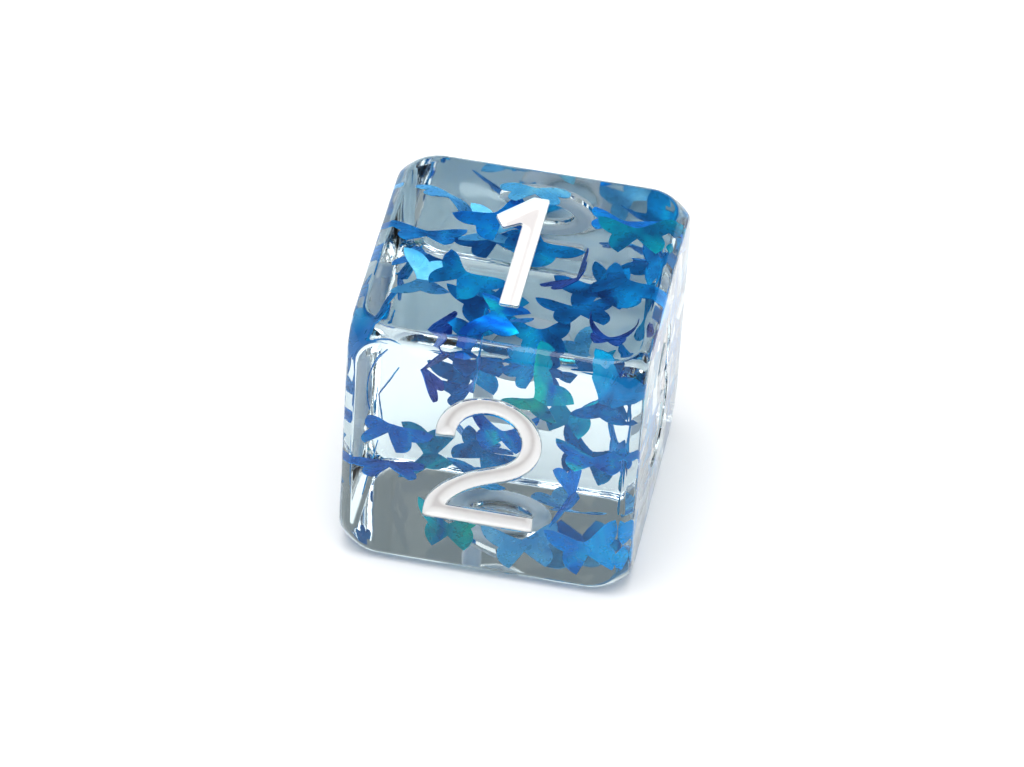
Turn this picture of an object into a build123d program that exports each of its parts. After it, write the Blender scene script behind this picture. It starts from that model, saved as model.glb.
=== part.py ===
"""A six-sided clear resin die with engraved, painted numerals and butterfly foils cast inside it.

Row frame: millimetres, +Z up, origin at the centre of the cube. The 1 is on top (+Z), the 2 in front (-Y).
"""

import os
from math import cos, degrees, radians, sin

from build123d import *

# Driving dimensions
EDGE = 16.0  # across opposite faces
TUMBLE_R = 3.0  # rounding of the oversize block that the corners come from
TUMBLE_ALLOWANCE = 0.6  # that block stands this far outside each face
EDGE_R = 0.5  # fillet round each polished face

STROKE = 1.05  # width of a numeral's stroke
ENGRAVE_DEPTH = 0.55
ENGRAVE_FLOOR_R = 0.3  # fillet along an engraving's floor
PAINT_RECESS = 0.16  # how far the paint lies below the face

FOIL_SPAN = 4.2  # across a butterfly's wings, laid flat
FOIL_BODY = 0.84  # length of its body, where the wings meet
FOIL_FORE = 1.5  # from the body's middle forward to the forewing tips
FOIL_HIND = 1.55  # and back to the hindwing tips
FOIL_THICKNESS = 0.06
FILM_WIDTH = 2 * FOIL_HIND + 0.2  # of the film that a bent foil is cut from

HALF = EDGE / 2


def numeral_1():
    """Upright stem with a tapering flag."""
    foot, head, corner_r = -4.15, 5.05, 0.12
    flag_top, flag_tip, flag_heel, flag_root = (-0.35, head), (-2.05, 3.1), (-1.5, 2.15), 2.85
    half = STROKE / 2
    with BuildSketch() as outline:
        with BuildLine():
            Polyline(
                (half, foot),
                (half, head),
                flag_top,
                flag_tip,
                flag_heel,
                (-half, flag_root),
                (-half, foot),
                close=True,
            )
        make_face()
        fillet(outline.vertices(), corner_r)
    return outline.sketch


def numeral_2():
    """Open bowl that swings down into a flat base."""
    bowl_r, bowl_centre, bowl_start, neck_angle = 2.34, (-0.05, 1.65), 184, -50
    base_y, foot_x, base_end_x = -3.8, -2.85, 2.6
    neck = (
        bowl_centre[0] + bowl_r * cos(radians(neck_angle)),
        bowl_centre[1] + bowl_r * sin(radians(neck_angle)),
    )
    neck_run = (-0.77, -0.64)
    foot, foot_run = (foot_x, base_y - STROKE / 2), (0, -1)
    with BuildSketch() as outline:
        with BuildLine():
            CenterArc(bowl_centre, bowl_r, bowl_start, neck_angle - bowl_start)
            Spline(neck, (-0.9, -1.35), (-2.6, -3.0), foot, tangents=(neck_run, foot_run))
        trace(line_width=STROKE)
        with BuildLine():
            Line((foot_x, base_y), (base_end_x, base_y))
        trace(line_width=STROKE)
    return outline.sketch


def numeral_3():
    """Two bowls, the lower one larger, that overlap at the waist."""
    top, waist, bottom, overlap, centre_x = 3.9, 0.5, -3.8, 0.1, -0.1
    upper_start, lower_start, sweep_angle = 160, 90, -250
    upper_r = (top - waist - overlap / 2) / 2
    lower_r = (waist - overlap / 2 - bottom) / 2
    with BuildSketch() as outline:
        with BuildLine():
            CenterArc((centre_x, top - upper_r), upper_r, upper_start, sweep_angle)
        trace(line_width=STROKE)
        with BuildLine():
            CenterArc((centre_x, bottom + lower_r), lower_r, lower_start, sweep_angle)
        trace(line_width=STROKE)
    return outline.sketch


def numeral_4():
    """Stem, crossbar and diagonal around a triangular counter."""
    stem_x, bar_y, head, foot = 1.1, -1.8, 4.4, -4.3
    left_x, nib, bar_length = -3.0, 0.2, 3.2
    counter_top, counter_left = 2.7, -1.8
    half = STROKE / 2
    with BuildSketch() as outline:
        with BuildLine():
            Polyline(
                (stem_x + half, foot),
                (stem_x + half, head),
                (stem_x - half - nib, head),
                (left_x, bar_y + half + nib),
                (left_x, bar_y - half),
                (stem_x - half, bar_y - half),
                (stem_x - half, foot),
                close=True,
            )
        make_face()
        with Locations((stem_x, bar_y)):
            Rectangle(bar_length, STROKE)
        with BuildLine():
            Polyline(
                (stem_x - half, bar_y + half),
                (stem_x - half, counter_top),
                (counter_left, bar_y + half),
                close=True,
            )
        make_face(mode=Mode.SUBTRACT)
    return outline.sketch


def numeral_5():
    """Flat top, short stem and an open bowl."""
    bowl_r, bowl_centre, bowl_start, sweep_angle = 2.3, (-0.2, -1.5), 140, -290
    top, stem_foot, stem_head_x = 3.9, (-1.95, 0.05), -1.65
    top_left_x, top_right_x = -1.9, 2.1
    with BuildSketch() as outline:
        with BuildLine():
            CenterArc(bowl_centre, bowl_r, bowl_start, sweep_angle)
        trace(line_width=STROKE)
        with BuildLine():
            Line(stem_foot, (stem_head_x, top + STROKE / 2))
        trace(line_width=STROKE)
        with BuildLine():
            Line((top_left_x, top), (top_right_x, top))
        trace(line_width=STROKE)
    return outline.sketch


def numeral_6():
    """Closed bowl under a sweeping stem."""
    bowl_r, bowl_centre, stem_end = 2.3, (0.1, -1.5), (1.6, 3.9)
    with BuildSketch() as outline:
        with Locations(bowl_centre):
            Circle(bowl_r + STROKE / 2)
            Circle(bowl_r - STROKE / 2, mode=Mode.SUBTRACT)
        with BuildLine():
            TangentArc((bowl_centre[0] - bowl_r, bowl_centre[1]), stem_end, tangent=(0, 1))
        trace(line_width=STROKE)
    return outline.sketch


# Each numeral's face: its outward normal, and the direction a reader calls right.
# Opposite faces add up to seven; the 1, 2 and 3 run counter-clockwise round their corner.
NUMERALS = {
    1: (numeral_1, (0, 0, 1), (1, 0, 0)),
    2: (numeral_2, (0, -1, 0), (1, 0, 0)),
    3: (numeral_3, (1, 0, 0), (0, 1, 0)),
    4: (numeral_4, (-1, 0, 0), (0, -1, 0)),
    5: (numeral_5, (0, 1, 0), (1, 0, 0)),
    6: (numeral_6, (0, 0, -1), (1, 0, 0)),
}


# How a foil lies: flat, folded along its body by an angle, or curled to a radius.
# A negative angle or radius turns the wings the other way.
def flat():
    return ("flat", 0)


def folded(angle):
    return ("folded", angle)


def curled(radius):
    return ("curled", radius)


# Each foil's centre, and its turn about X, then Y, then Z, in degrees.
FOILS = {
    # under the 1's face, back to front
    "foil_top_back": (curled(-3.0), (-0.5, 6.5, 6.5), (-30, 0, 5)),
    "foil_top_back_right": (flat(), (4.5, 5.5, 5.5), (-30, 0, -10)),
    "foil_top_back_left": (curled(-2.5), (-5.0, 5.5, 5.5), (-45, 25, 0)),
    "foil_top_flag": (folded(-30), (-2.0, 3.5, 7.0), (0, 0, 35)),
    "foil_top_corner": (folded(-20), (5.5, 4.0, 7.0), (0, 0, 10)),
    "foil_top_upright": (folded(40), (-2.5, 4.5, 3.0), (-15, 0, 90)),
    "foil_top_under_stem": (flat(), (0.5, 2.0, 6.5), (0, 0, -35)),
    "foil_top_left": (flat(), (-5.5, 1.5, 6.5), (-35, 0, 5)),
    "foil_top_left_deep": (folded(-60), (-5.5, 1.0, 4.0), (-20, 0, -30)),
    "foil_top_left_pale": (folded(50), (-5.0, -1.5, 5.0), (0, 0, 90)),
    "foil_top_middle": (folded(-30), (-3.0, -1.5, 6.5), (0, 0, -30)),
    "foil_top_middle_deep": (curled(3.0), (-1.5, -2.0, 4.0), (10, 0, 20)),
    "foil_top_zigzag": (folded(50), (3.0, 0.0, 6.0), (-35, -55, 15)),
    "foil_top_right": (folded(-60), (5.5, 0.0, 6.5), (0, 0, -30)),
    "foil_top_deep": (folded(-20), (4.0, 0.5, 4.0), (15, 0, 20)),
    "foil_top_front": (flat(), (3.5, -2.0, 5.0), (-20, 0, 20)),
    "foil_top_bowed": (curled(-2.4), (-0.5, -4.5, 7.0), (0, 0, 80)),
    "foil_top_tilted": (folded(-80), (2.0, -5.0, 6.0), (10, 0, 15)),
    "foil_top_hoop": (curled(1.3), (5.5, -4.5, 6.0), (-40, 0, 0)),
    # behind the 2's face, top to bottom
    "foil_front_zigzag": (folded(80), (-4.0, -5.0, 4.5), (90, 75, 75)),
    "foil_front_hook": (curled(2.0), (-1.5, -4.5, 3.5), (10, -55, 0)),
    "foil_front_high": (folded(-60), (2.5, -7.0, 4.5), (90, 0, 60)),
    "foil_front_corner": (folded(-50), (6.0, -7.0, 5.0), (90, 0, 75)),
    "foil_front_right": (folded(-75), (4.0, -5.5, 3.0), (90, 0, -10)),
    "foil_front_shelf": (folded(20), (5.5, -6.0, 0.5), (10, 0, 5)),
    "foil_front_bowl": (curled(2.5), (0.5, -5.5, 1.0), (20, 0, 0)),
    "foil_front_left": (folded(-50), (-5.5, -6.0, 0.5), (15, 0, -15)),
    "foil_front_neck": (flat(), (-0.5, -4.5, -1.0), (110, 0, -35)),
    "foil_front_stem": (folded(-40), (-3.5, -3.5, -2.0), (90, 30, 90)),
    "foil_front_star": (folded(-30), (4.5, -6.0, -2.0), (90, 70, 90)),
    "foil_front_left_low": (folded(-30), (-5.5, -6.0, -2.0), (0, 0, 10)),
    "foil_front_low_right": (folded(-30), (5.5, -6.5, -5.5), (70, 0, 20)),
    "foil_front_foot": (folded(-60), (-2.0, -7.0, -5.5), (90, 0, 0)),
    "foil_front_foot_deep": (flat(), (2.0, -5.5, -6.5), (40, 0, 15)),
    # along the other four faces
    "foil_back_left": (folded(40), (-2.5, 6.0, -0.5), (80, 10, 20)),
    "foil_back_low": (folded(-30), (4.5, 6.0, -5.0), (70, 0, -15)),
    "foil_back_right": (curled(3.0), (5.5, 6.0, -0.5), (100, 20, 60)),
    "foil_left_high": (curled(-4.0), (-7.0, -4.0, 3.0), (0, -80, 30)),
    "foil_left_middle": (folded(-40), (-7.0, 2.0, -1.0), (10, -80, 35)),
    "foil_left_low": (flat(), (-7.0, -1.0, -5.0), (0, -80, -50)),
    "foil_right_high": (flat(), (7.0, -1.5, 4.0), (0, 80, 90)),
    "foil_right_back": (folded(-40), (7.0, 4.0, 3.0), (10, 80, 20)),
    "foil_right_middle": (flat(), (6.5, -2.5, 0.0), (20, 75, 20)),
    "foil_right_low": (folded(-30), (7.0, 1.0, -3.5), (0, 85, -60)),
    "foil_floor_right": (curled(3.0), (3.5, 1.0, -6.5), (-10, 10, -50)),
    "foil_floor_back": (flat(), (-1.5, 3.5, -6.5), (0, 5, 100)),
    # towards the middle
    "foil_core": (folded(60), (-1.5, 0.5, -3.0), (-40, 20, 0)),
}


def butterfly(squeeze):
    """A butterfly's outline, narrowed to suit a film that is bent across its width."""
    tip = FOIL_SPAN / 2 * squeeze
    head, heel = (0, FOIL_BODY / 2), (0, -FOIL_BODY / 2)
    fore_tip, notch, hind_tip = (tip, FOIL_FORE), (0.64 * tip, 0), (0.48 * tip, -FOIL_HIND)
    with BuildSketch() as outline:
        with BuildLine():
            Spline(head, (0.4 * tip, 0.6 * FOIL_FORE), (0.8 * tip, 0.95 * FOIL_FORE), fore_tip)
            Spline(fore_tip, (0.95 * tip, 0.5 * FOIL_FORE), notch)
            Spline(notch, (0.72 * tip, -0.55 * FOIL_HIND), hind_tip)
            Spline(hind_tip, (0.2 * tip, -0.6 * FOIL_HIND), heel)
            Line(heel, head)
        make_face()
        mirror(about=Plane.YZ)
    return outline.sketch


def bent_film(shape, amount):
    """A sheet of film bent across its width, and how much the bend narrows it."""
    half_span = FOIL_SPAN / 2
    with BuildPart() as film:
        with BuildSketch(Plane.XZ):
            with BuildLine():
                if shape == "curled":
                    sweep_angle = degrees(FOIL_SPAN / amount)
                    foot_angle = -90 if amount > 0 else 90
                    CenterArc((0, amount), abs(amount), foot_angle - sweep_angle / 2, sweep_angle)
                    squeeze = abs(amount) * sin(half_span / abs(amount)) / half_span
                else:
                    rise = half_span * sin(radians(amount / 2))
                    run = half_span * cos(radians(amount / 2))
                    Polyline((-run, rise), (0, 0), (run, rise))
                    squeeze = run / half_span
            trace(line_width=FOIL_THICKNESS)
        extrude(amount=FILM_WIDTH / 2, both=True)
    return film.part, squeeze


def foil(shape, amount):
    """One butterfly, cut from film that may be flat, folded or curled."""
    with BuildPart() as piece:
        if shape == "flat":
            add(butterfly(1.0))
            extrude(amount=FOIL_THICKNESS / 2, both=True)
        else:
            film, squeeze = bent_film(shape, amount)
            add(butterfly(squeeze))
            extrude(amount=FOIL_SPAN / 2, both=True)
            add(film, mode=Mode.INTERSECT)
    return piece.part


def foil_pieces():
    """Every foil in its place, by name."""
    pieces = {}
    for name, (bend, centre, turn) in FOILS.items():
        film = foil(*bend)
        with BuildPart() as piece:
            with Locations(Location(centre, turn)):
                add(film)
        pieces[name] = piece.part
    return pieces


def engraving(draw, normal, right):
    """The hollow that one numeral leaves in its face, with a rounded floor."""
    face = Plane(origin=Vector(*normal) * HALF, x_dir=right, z_dir=normal)
    outline = draw()
    with BuildPart() as hollow:
        with BuildSketch(face):
            add(outline)
        extrude(amount=-ENGRAVE_DEPTH)
        floor = hollow.faces().sort_by(Axis((0, 0, 0), normal))[0]
        fillet(floor.edges(), ENGRAVE_FLOOR_R)
    return hollow.part


def paint_fill(hollow):
    """The paint in an engraving, set a little below the face."""
    painted = EDGE - 2 * PAINT_RECESS
    with BuildPart() as fill:
        add(hollow)
        Box(painted, painted, painted, mode=Mode.INTERSECT)
    return fill.part


def resin_die(hollows, foils):
    """The cast cube: rounded corners, engraved numerals, and a hollow round each foil."""
    block = EDGE + 2 * TUMBLE_ALLOWANCE
    with BuildPart() as resin_body:
        Box(block, block, block)
        fillet(resin_body.edges(), TUMBLE_R)
        Box(EDGE, EDGE, EDGE, mode=Mode.INTERSECT)
        fillet(resin_body.edges(), EDGE_R)
        add(hollows, mode=Mode.SUBTRACT)
        add(foils, mode=Mode.SUBTRACT)
    return resin_body.part


def export(part, name):
    part.label = name
    export_step(part, f"parts/{name}.step")


def main():
    os.makedirs("parts", exist_ok=True)
    foils = foil_pieces()
    hollows = {number: engraving(*face) for number, face in NUMERALS.items()}
    export(resin_die(hollows.values(), foils.values()), "resin_body")
    for number, hollow in hollows.items():
        export(paint_fill(hollow), f"numeral_{number}_paint")
    for name, piece in foils.items():
        export(piece, name)


main()
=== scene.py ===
"""Looks of a clear resin die with painted numerals and butterfly foils. Metres, in the CAD frame."""

import math

import bmesh
import bpy
from mathutils import Matrix, Vector
from mathutils.kdtree import KDTree


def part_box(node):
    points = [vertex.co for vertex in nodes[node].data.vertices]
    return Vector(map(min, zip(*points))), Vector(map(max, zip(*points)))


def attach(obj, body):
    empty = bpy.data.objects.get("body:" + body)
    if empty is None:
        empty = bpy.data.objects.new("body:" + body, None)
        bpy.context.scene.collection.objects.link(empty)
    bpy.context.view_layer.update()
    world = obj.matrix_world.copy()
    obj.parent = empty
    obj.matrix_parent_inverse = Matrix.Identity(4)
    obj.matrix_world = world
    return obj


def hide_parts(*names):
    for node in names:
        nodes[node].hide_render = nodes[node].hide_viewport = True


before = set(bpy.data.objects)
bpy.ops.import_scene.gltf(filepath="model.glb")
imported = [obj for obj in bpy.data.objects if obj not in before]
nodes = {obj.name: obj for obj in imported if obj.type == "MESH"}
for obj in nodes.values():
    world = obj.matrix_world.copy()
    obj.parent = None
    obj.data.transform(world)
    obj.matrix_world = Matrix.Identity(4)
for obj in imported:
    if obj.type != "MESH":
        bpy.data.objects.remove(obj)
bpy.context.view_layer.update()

MM = 0.001
RESIN_IOR = 1.52
PAINT_OVERLAP = 0.02 * MM  # paint reaches this far into the resin, so that no two surfaces coincide
FLOOR_GAP = 0.02 * MM
WELD = 0.001 * MM  # mesh points nearer than this are one point
CREASE = math.radians(25)  # a sharper bend than this between two faces stays an edge
PER_MM = 1000  # noise scales are in cells per millimetre
PAINTED_SHADE_WEIGHT = "painted_shade_weight"  # mesh attribute: 0 at a stroke's rim, 1 along its middle; how much painted shade greys the paint there

# Camera: where it looks, and from where
AIM = Vector((-0.07, -0.48, -0.54)) * MM
CAMERA_AZIMUTH = 8.22
CAMERA_ELEVATION = 40.38
CAMERA_ROLL = 3.84
CAMERA_DISTANCE = 381.8 * MM
CAMERA_LENS = 248.35
CAMERA_SENSOR = 36.0
CAMERA_NEAR = 0.01

FLOOR_HALF_SIZE = 2.0


# ---------------------------------------------------------------- node helpers
class Shader:
    """A small builder for one material's or world's node tree."""

    def __init__(self, owner):
        owner.use_nodes = True
        self.tree = owner.node_tree
        self.tree.nodes.clear()

    def node(self, kind, **settings):
        made = self.tree.nodes.new(kind)
        for key, value in settings.items():
            setattr(made, key, value)
        return made

    def link(self, source, target):
        self.tree.links.new(source, target)

    def millimetres(self):
        """Object coordinates in millimetres."""
        coords = self.node("ShaderNodeTexCoord")
        mapping = self.node("ShaderNodeMapping")
        mapping.inputs["Scale"].default_value = (PER_MM, PER_MM, PER_MM)
        self.link(coords.outputs["Object"], mapping.inputs["Vector"])
        return mapping.outputs["Vector"]

    def noise(self, vector, scale, detail=2.0, roughness=0.5, distortion=0.0):
        made = self.node("ShaderNodeTexNoise")
        made.inputs["Scale"].default_value = scale
        made.inputs["Detail"].default_value = detail
        made.inputs["Roughness"].default_value = roughness
        made.inputs["Distortion"].default_value = distortion
        self.link(vector, made.inputs["Vector"])
        return made.outputs["Fac"]

    def ramp(self, value, stops):
        made = self.node("ShaderNodeValToRGB")
        elements = made.color_ramp.elements
        while len(elements) < len(stops):
            elements.new(0.5)
        for element, (position, colour) in zip(elements, stops):
            element.position = position
            element.color = (*colour, 1)
        self.link(value, made.inputs["Fac"])
        return made.outputs["Color"]

    def bump(self, height, distance, normal=None):
        made = self.node("ShaderNodeBump")
        made.inputs["Distance"].default_value = distance
        self.link(height, made.inputs["Height"])
        if normal:
            self.link(normal, made.inputs["Normal"])
        return made.outputs["Normal"]

    def map_range(self, value, low, high):
        made = self.node("ShaderNodeMapRange")
        made.inputs["To Min"].default_value = low
        made.inputs["To Max"].default_value = high
        self.link(value, made.inputs["Value"])
        return made.outputs["Result"]

    def surface(self, **values):
        made = self.node("ShaderNodeBsdfPrincipled")
        for key, value in values.items():
            made.inputs[key.replace("_", " ")].default_value = value
        out = self.node("ShaderNodeOutputMaterial")
        self.link(made.outputs["BSDF"], out.inputs["Surface"])
        return made.inputs


def material(name):
    return bpy.data.materials.new(name)


# ---------------------------------------------------------------- materials
def clear_resin():
    """Polished resin: a faint blue tint that drifts, smears, a slow swell and fine pits."""
    tint_scale, smear_scale, swell_scale, pit_scale = 0.15, 0.9, 0.35, 6.0
    swell_height, pit_height = 0.02 * MM, 0.0006 * MM
    roughest = 0.03
    mat = material("clear_resin")
    shader = Shader(mat)
    inputs = shader.surface(IOR=RESIN_IOR, Transmission_Weight=1.0)
    at = shader.millimetres()
    tints = [(0.3, (0.79, 0.94, 0.975)), (0.7, (0.85, 0.955, 0.98))]
    shader.link(shader.ramp(shader.noise(at, tint_scale), tints), inputs["Base Color"])
    smears = shader.noise(at, smear_scale, detail=4, roughness=0.6, distortion=0.6)
    shader.link(shader.map_range(smears, 0.0, roughest), inputs["Roughness"])
    swell = shader.bump(shader.noise(at, swell_scale, detail=1), swell_height)
    pits = shader.bump(shader.noise(at, pit_scale, detail=3), pit_height, normal=swell)
    shader.link(pits, inputs["Normal"])
    return mat


def white_paint():
    """Dried paint: white at a stroke's rim, with painted shade greying it along its trough, mottled and
    grainy.
    """
    mottle_scale, pool_scale, grain_scale = 1.6, 1.1, 14.0
    mottle, pool_height, grain_height = 0.12, 0.05 * MM, 0.006 * MM
    # Rim to trough: white paint, then grey painted shade down the sunk middle of each stroke
    tones = [
        (0.0, (0.95, 0.945, 0.94)),
        (0.35, (0.90, 0.885, 0.875)),
        (0.8, (0.72, 0.69, 0.68)),
        (1.0, (0.66, 0.63, 0.625)),
    ]
    mat = material("white_paint")
    shader = Shader(mat)
    inputs = shader.surface(Roughness=0.42)
    at = shader.millimetres()
    shade_weight = shader.node("ShaderNodeAttribute", attribute_name=PAINTED_SHADE_WEIGHT)
    blotches = shader.noise(at, mottle_scale, detail=5, roughness=0.65)
    shade = shader.node("ShaderNodeMath", operation="ADD")
    shader.link(shade_weight.outputs["Fac"], shade.inputs[0])
    shader.link(shader.map_range(blotches, -mottle, mottle), shade.inputs[1])
    shader.link(shader.ramp(shade.outputs["Value"], tones), inputs["Base Color"])
    pool = shader.bump(shader.noise(at, pool_scale, detail=2), pool_height)
    grain = shader.bump(shader.noise(at, grain_scale, detail=4), grain_height, normal=pool)
    shader.link(grain, inputs["Normal"])
    return mat


# Each film's darkest, middle and lightest colour.
FILM_TONES = {
    "deep": ((0.000, 0.15, 0.42), (0.000, 0.32, 0.74), (0.005, 0.62, 0.96)),
    "teal": ((0.000, 0.22, 0.48), (0.000, 0.46, 0.68), (0.005, 0.76, 0.82)),
    "royal": ((0.000, 0.17, 0.60), (0.000, 0.32, 0.88), (0.010, 0.58, 1.00)),
    "navy": ((0.000, 0.04, 0.26), (0.000, 0.09, 0.44), (0.000, 0.20, 0.66)),
    "pale": ((0.08, 0.42, 0.75), (0.18, 0.58, 0.88), (0.36, 0.78, 0.95)),
    "holo": ((0.000, 0.12, 0.55), (0.000, 0.38, 0.95), (0.020, 1.00, 0.95)),
    "green": ((0.000, 0.18, 0.60), (0.000, 0.52, 0.60), (0.010, 0.85, 0.62)),
}


def film(tone):
    """Iridescent foil: patches of hue, fine crinkles and a metal sheen."""
    patch_scale, sheen_scale, wave_scale, crinkle_scale = 0.32, 2.2, 0.6, 4.0
    wave_height, crinkle_height = 0.07 * MM, 0.0012 * MM
    smoothest, roughest = 0.16, 0.42
    edge_tint = (0.15, 0.45, 1.0, 1.0)
    dark, middle, light = FILM_TONES[tone]
    mat = material("foil_" + tone)
    shader = Shader(mat)
    inputs = shader.surface(Metallic=0.45, Specular_IOR_Level=0.1, Specular_Tint=edge_tint)
    at = shader.millimetres()
    patches = shader.noise(at, patch_scale, detail=3, roughness=0.55, distortion=0.8)
    hues = shader.ramp(patches, [(0.32, dark), (0.52, middle), (0.74, light)])
    shader.link(hues, inputs["Base Color"])
    sheen = shader.map_range(shader.noise(at, sheen_scale), smoothest, roughest)
    shader.link(sheen, inputs["Roughness"])
    waves = shader.bump(shader.noise(at, wave_scale, detail=1), wave_height)
    crinkle = shader.bump(shader.noise(at, crinkle_scale, detail=2), crinkle_height, normal=waves)
    shader.link(crinkle, inputs["Normal"])
    return mat


# Foils that aren't "deep".
FOIL_TONE = {
    "foil_top_zigzag": "navy",
    "foil_top_hoop": "navy",
    "foil_front_zigzag": "navy",
    "foil_front_star": "royal",
    "foil_top_corner": "teal",
    "foil_top_bowed": "holo",
    "foil_top_back": "pale",
    "foil_front_shelf": "holo",
    "foil_front_bowl": "holo",
    "foil_front_high": "green",
    "foil_front_left_low": "royal",
    "foil_front_low_right": "royal",
    "foil_front_right": "teal",
    "foil_front_stem": "teal",
    "foil_front_foot": "green",
    "foil_front_foot_deep": "pale",
    "foil_top_back_left": "pale",
    "foil_top_upright": "pale",
    "foil_top_back_right": "royal",
    "foil_top_flag": "royal",
    "foil_top_left_pale": "pale",
    "foil_front_left": "royal",
    "foil_right_high": "teal",
    "foil_floor_right": "pale",
    "foil_right_low": "teal",
}


# ---------------------------------------------------------------- the resin
def loose_parts(work):
    """The mesh's unconnected parts, each a list of its points, the tallest last."""
    seen = set()
    parts = []
    for start in work.verts:
        if start in seen:
            continue
        seen.add(start)
        part = [start]
        for vert in part:
            for edge in vert.link_edges:
                other = edge.other_vert(vert)
                if other not in seen:
                    seen.add(other)
                    part.append(other)
        parts.append(part)
    return sorted(parts, key=lambda part: max(v.co.z for v in part) - min(v.co.z for v in part))


def outer_shell(node):
    """A copy of the cast block's outer skin. The foils then touch the resin, with no air round them."""
    source = nodes[node]
    mesh = bpy.data.meshes.new("resin")
    work = bmesh.new()
    work.from_mesh(source.data)
    work.transform(source.matrix_world)
    bmesh.ops.remove_doubles(work, verts=work.verts, dist=WELD)
    for hollow in loose_parts(work)[:-1]:
        bmesh.ops.delete(work, geom=hollow, context="VERTS")
    for face in work.faces:
        face.smooth = True
    for edge in work.edges:
        if len(edge.link_faces) == 2 and edge.calc_face_angle() > CREASE:
            edge.smooth = False
    work.to_mesh(mesh)
    work.free()
    shell = bpy.data.objects.new("resin", mesh)
    bpy.context.scene.collection.objects.link(shell)
    weighted = shell.modifiers.new("normals", "WEIGHTED_NORMAL")
    weighted.keep_sharp = True
    weighted.weight = 100
    return shell


def finish_node(node, mat):
    for slot in node.material_slots:
        slot.material = mat


# ---------------------------------------------------------------- the paint
VOXEL = 0.05 * MM
TROUGH = 0.28 * MM  # how far the paint sinks along the middle of a stroke
CREEP = 0.11 * MM  # how far it climbs the walls
STROKE_HALF = 0.52 * MM
LEVEL_GAP = 0.01 * MM  # a point this near the fill's top lies on it
FACES_OUT = 0.99  # cosine, for a face that looks straight out
OUTWARD = {
    "numeral_1_paint": Vector((0, 0, 1)),
    "numeral_2_paint": Vector((0, -1, 0)),
    "numeral_3_paint": Vector((1, 0, 0)),
    "numeral_4_paint": Vector((-1, 0, 0)),
    "numeral_5_paint": Vector((0, 1, 0)),
    "numeral_6_paint": Vector((0, 0, -1)),
}


def rim_points(mesh, outward, level):
    """Points every half voxel along the outline of a fill's flat top."""
    work = bmesh.new()
    work.from_mesh(mesh)
    bmesh.ops.remove_doubles(work, verts=work.verts, dist=WELD)
    points = []
    for edge in work.edges:
        tops = [face for face in edge.link_faces if face.normal.dot(outward) > FACES_OUT]
        ends = [vert.co for vert in edge.verts]
        if len(tops) == 1 and all(abs(end.dot(outward) - level) < LEVEL_GAP for end in ends):
            steps = max(1, math.ceil((ends[1] - ends[0]).length / (VOXEL / 2)))
            points += [ends[0].lerp(ends[1], step / steps) for step in range(steps)]
    work.free()
    return points


def rim_tree(points):
    tree = KDTree(len(points))
    for index, point in enumerate(points):
        tree.insert(point, index)
    tree.balance()
    return tree


def fine_fill(source):
    """The fill as an even fine mesh, swollen a little into the resin."""
    draft = bpy.data.objects.new("draft", source.copy())
    bpy.context.scene.collection.objects.link(draft)
    draft.modifiers.new("weld", "WELD").merge_threshold = WELD
    remesh = draft.modifiers.new("voxels", "REMESH")
    remesh.mode = "VOXEL"
    remesh.voxel_size = VOXEL
    draft.modifiers.new("smooth", "SMOOTH").iterations = 2
    swell = draft.modifiers.new("overlap", "DISPLACE")
    swell.strength = PAINT_OVERLAP
    swell.mid_level = 0.0
    mesh = bpy.data.meshes.new_from_object(draft.evaluated_get(bpy.context.evaluated_depsgraph_get()))
    bpy.data.objects.remove(draft)
    return mesh


def painted_numeral(name, paint):
    """The fill as dried paint: sunk along each stroke and creeping up the walls."""
    source = nodes[name].data
    outward = OUTWARD[name]
    level = max(vert.co.dot(outward) for vert in source.vertices)
    rim = rim_tree(rim_points(source, outward, level))
    mesh = fine_fill(source)
    shade_weight = mesh.attributes.new(PAINTED_SHADE_WEIGHT, "FLOAT", "POINT")
    for vert in mesh.vertices:
        height = vert.co.dot(outward)
        if height > level - VOXEL:
            flat = vert.co - outward * (height - level)
            inset = min(rim.find(flat)[2] / STROKE_HALF, 1.0)
            sink = (TROUGH + CREEP) * math.sqrt(1 - (1 - inset) ** 2) - CREEP
            vert.co -= outward * sink
            # Painted shade weight: 0 at the rim, rising to 1 mid-stroke where the paint sinks deepest
            shade_weight.data[vert.index].value = inset**2
    mesh.shade_smooth()
    mesh.materials.clear()
    mesh.materials.append(paint)
    piece = bpy.data.objects.new(name.replace("_paint", "_enamel"), mesh)
    bpy.context.scene.collection.objects.link(piece)
    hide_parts(name)
    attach(piece, "root")


resin = outer_shell("resin_body")
resin.data.materials.append(clear_resin())
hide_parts("resin_body")
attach(resin, "root")

enamel = white_paint()
for name in OUTWARD:
    painted_numeral(name, enamel)

films = {tone: film(tone) for tone in FILM_TONES}
for name, node in nodes.items():
    if name.startswith("foil_"):
        finish_node(node, films[FOIL_TONE.get(name, "deep")])


# ---------------------------------------------------------------- floor, light and camera
def floor_material():
    """Matt pale card with a faint grain."""
    drift_scale, grain_scale, grain_height = 0.02, 3.0, 0.002 * MM
    mat = material("floor")
    shader = Shader(mat)
    inputs = shader.surface(Roughness=0.6)
    at = shader.millimetres()
    tones = [(0.3, (0.93, 0.93, 0.93)), (0.7, (0.95, 0.95, 0.95))]
    shader.link(shader.ramp(shader.noise(at, drift_scale, detail=3), tones), inputs["Base Color"])
    shader.link(shader.bump(shader.noise(at, grain_scale), grain_height), inputs["Normal"])
    return mat


def make_floor():
    low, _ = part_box("resin_body")
    mesh = bpy.data.meshes.new("floor")
    work = bmesh.new()
    bmesh.ops.create_grid(work, x_segments=4, y_segments=4, size=FLOOR_HALF_SIZE)
    bmesh.ops.translate(work, verts=work.verts, vec=(0, 0, low[2] - FLOOR_GAP))
    work.to_mesh(mesh)
    work.free()
    floor = bpy.data.objects.new("floor", mesh)
    bpy.context.scene.collection.objects.link(floor)
    floor.data.materials.append(floor_material())


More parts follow.
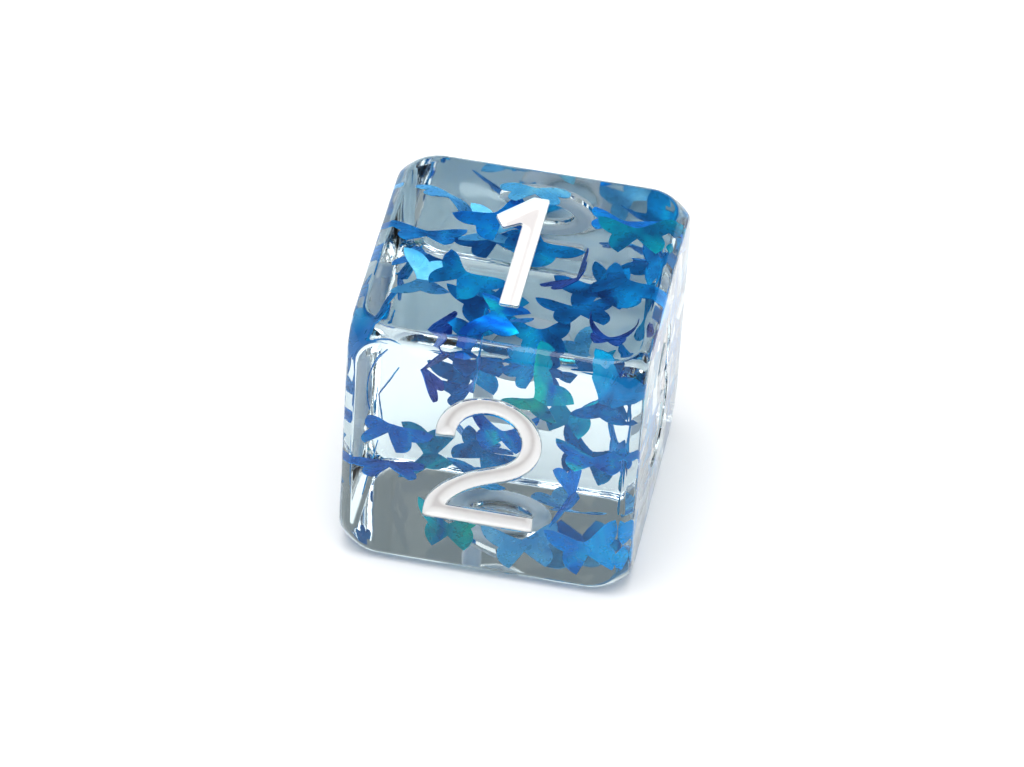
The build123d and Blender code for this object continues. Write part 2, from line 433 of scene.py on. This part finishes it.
def make_world():
    """A pale room. Behind the die a grey band lies between the bright floor line and the ceiling.

    In front the room dims downwards.
    """
    white = (1.0, 1.0, 1.0)
    black = (0.0, 0.0, 0.0)
    band_stops = [(0.20, white), (0.42, (0.20, 0.215, 0.22)), (0.72, (0.17, 0.185, 0.19)), (0.86, white)]
    front_stops = [(0.25, (0.34, 0.35, 0.355)), (0.85, white)]
    world = bpy.data.worlds.new("studio")
    bpy.context.scene.world = world
    shader = Shader(world)
    coords = shader.node("ShaderNodeTexCoord")
    split = shader.node("ShaderNodeSeparateXYZ")
    shader.link(coords.outputs["Generated"], split.inputs["Vector"])
    band = shader.ramp(split.outputs["Z"], band_stops)
    front = shader.ramp(split.outputs["Z"], front_stops)
    behind = shader.ramp(split.outputs["Y"], [(0.05, black), (0.35, white)])
    sky = shader.node("ShaderNodeMix", data_type="RGBA")
    sky_in = {socket.identifier: socket for socket in sky.inputs}
    shader.link(front, sky_in["A_Color"])
    shader.link(band, sky_in["B_Color"])
    shader.link(behind, sky_in["Factor_Float"])
    sky_out = {socket.identifier: socket for socket in sky.outputs}
    back = shader.node("ShaderNodeBackground")
    shader.link(sky_out["Result_Color"], back.inputs["Color"])
    out = shader.node("ShaderNodeOutputWorld")
    shader.link(back.outputs["Background"], out.inputs["Surface"])


def softbox(name, azimuth, elevation, distance, size, power):
    """A square area light that faces the die."""
    data = bpy.data.lights.new(name, "AREA")
    data.size = size
    data.energy = power
    lamp = bpy.data.objects.new(name, data)
    lamp.matrix_world = look_from(azimuth, elevation, distance, Vector((0, 0, 0)), 0)
    bpy.context.scene.collection.objects.link(lamp)


def look_from(azimuth, elevation, distance, target, roll):
    """A pose at that bearing, facing the target along -Z. Azimuth 0 looks along +Y."""
    turn = math.radians(azimuth)
    rise = math.radians(elevation)
    back = Vector((math.sin(turn) * math.cos(rise), -math.cos(turn) * math.cos(rise), math.sin(rise)))
    right = Vector((0, 0, 1)).cross(back).normalized()
    up = back.cross(right)
    axes = Matrix((right, up, back)).transposed().to_4x4()
    return Matrix.Translation(target + back * distance) @ axes @ Matrix.Rotation(math.radians(roll), 4, "Z")


def make_camera():
    data = bpy.data.cameras.new("camera")
    data.lens = CAMERA_LENS
    data.sensor_width = CAMERA_SENSOR
    data.clip_start = CAMERA_NEAR
    camera = bpy.data.objects.new("camera", data)
    camera.matrix_world = look_from(CAMERA_AZIMUTH, CAMERA_ELEVATION, CAMERA_DISTANCE, AIM, CAMERA_ROLL)
    bpy.context.scene.collection.objects.link(camera)
    bpy.context.scene.camera = camera


make_floor()
make_world()
softbox("key", azimuth=-25, elevation=80, distance=0.5, size=0.42, power=1.4)
softbox("fill", azimuth=75, elevation=30, distance=0.6, size=0.34, power=0.25)
make_camera()
view = bpy.context.scene.view_settings
view.view_transform = "Standard"
view.look = "Medium High Contrast"
